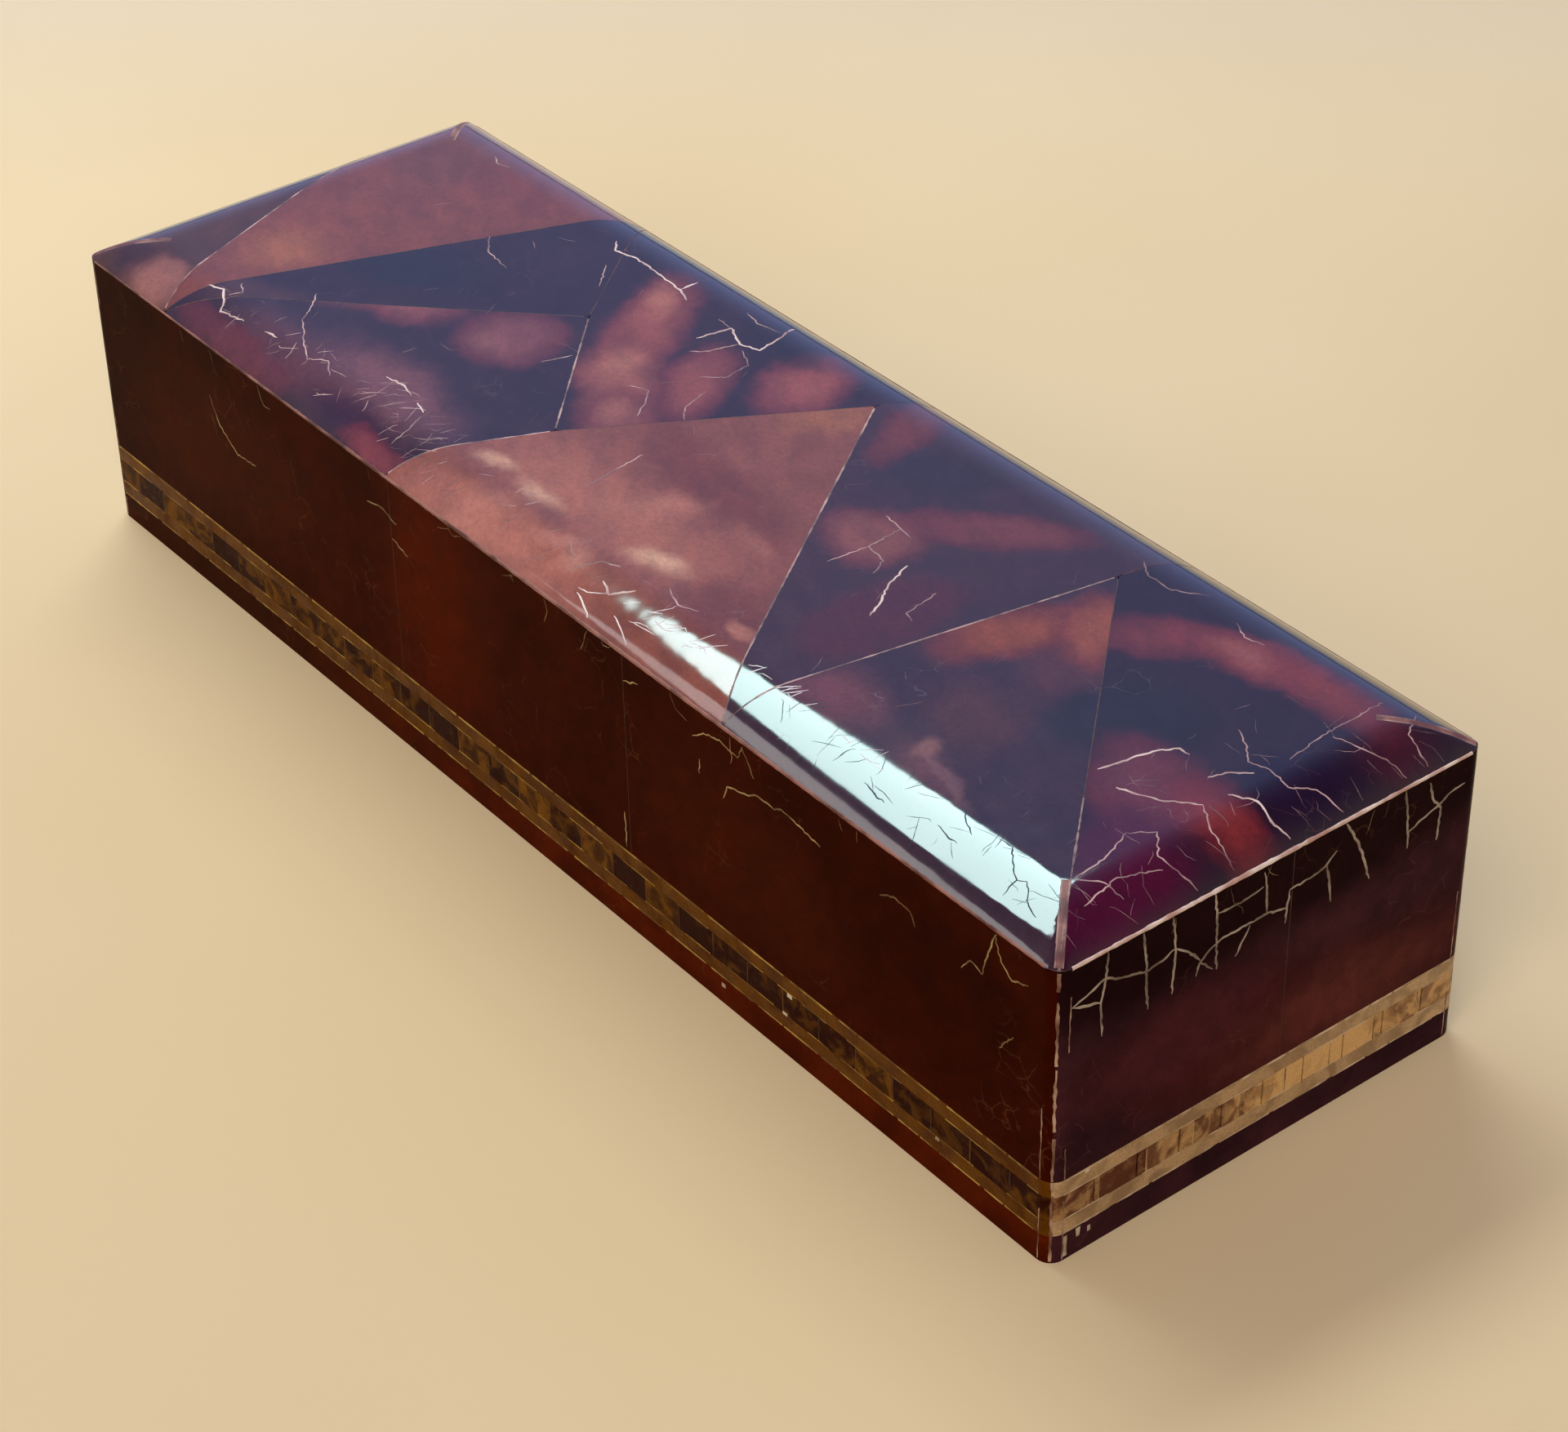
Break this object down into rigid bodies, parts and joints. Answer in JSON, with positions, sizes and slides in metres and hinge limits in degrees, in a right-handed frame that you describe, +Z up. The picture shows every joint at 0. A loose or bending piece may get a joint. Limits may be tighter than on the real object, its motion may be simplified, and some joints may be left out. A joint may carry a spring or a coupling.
{
  "type": "hinged box",
  "caption": "Long low keepsake box clad in polished coconut shell, with a pillow-topped lid on brass butt hinges and an inlaid metal band near the foot.",
  "frame": {"origin": "middle of the underside, on the table", "axes": "+X along the length to the right-hand end, +Y to the hinged back, +Z up"},
  "size_m": [0.3, 0.0973, 0.0665],
  "materials": {
    "top_shell": "polished shell under clear crazed lacquer",
    "side_shell": "dark polished shell under clear crazed lacquer",
    "band_shell": "amber shell under clear lacquer",
    "strip_brass": "dull tarnished brass under lacquer",
    "hinge_brass": "aged brass",
    "core_wood": "plain close-grained wood, lightly oiled",
    "felt": "short wool felt"
  },
  "bodies": {
    "base": {"base_back_wall": "core_wood", "base_felt": "felt", "base_floor_board": "core_wood", "base_front_wall": "core_wood", "base_hinge_leaf_left": "hinge_brass", "base_hinge_leaf_right": "hinge_brass", "base_hinge_screws": "hinge_brass", "base_left_wall": "core_wood", "base_right_wall": "core_wood", "hinge_pin_left": "hinge_brass", "hinge_pin_right": "hinge_brass", "liner_back": "core_wood", "liner_front": "core_wood", "liner_left": "core_wood", "liner_right": "core_wood", "lower_strip_back": "strip_brass", "lower_strip_front": "strip_brass", "lower_strip_left": "strip_brass", "lower_strip_right": "strip_brass", "plinth_shell_back": "side_shell", "plinth_shell_front": "side_shell", "plinth_shell_left": "side_shell", "plinth_shell_right": "side_shell", "row_shells_back": "band_shell", "row_shells_front": "band_shell", "row_shells_left": "band_shell", "row_shells_right": "band_shell", "upper_strip_back": "strip_brass", "upper_strip_front": "strip_brass", "upper_strip_left": "strip_brass", "upper_strip_right": "strip_brass"},
    "lid": {"lid_back_shell_1": "side_shell", "lid_back_shell_2": "side_shell", "lid_back_shell_3": "side_shell", "lid_back_wall": "core_wood", "lid_front_shell_1": "side_shell", "lid_front_shell_2": "side_shell", "lid_front_shell_3": "side_shell", "lid_front_wall": "core_wood", "lid_hinge_leaf_left": "hinge_brass", "lid_hinge_leaf_right": "hinge_brass", "lid_hinge_screws": "hinge_brass", "lid_left_shell_1": "side_shell", "lid_left_shell_2": "side_shell", "lid_left_wall": "core_wood", "lid_right_shell_1": "side_shell", "lid_right_shell_2": "side_shell", "lid_right_wall": "core_wood", "lid_top_board": "core_wood", "top_shell_left_back": "top_shell", "top_shell_left_corner": "top_shell", "top_shell_left_dark": "top_shell", "top_shell_left_end": "top_shell", "top_shell_left_wedge": "top_shell", "top_shell_middle": "top_shell", "top_shell_right_back": "top_shell", "top_shell_right_end": "top_shell", "top_shell_right_front": "top_shell"}
  },
  "joints": [
    {"name": "lid_hinge", "type": "hinge", "parent": "base", "child": "lid", "pos_m": [0, 0.0479, 0.0178], "axis": [-1, 0, 0], "range_deg": [0, 105]}
  ]
}
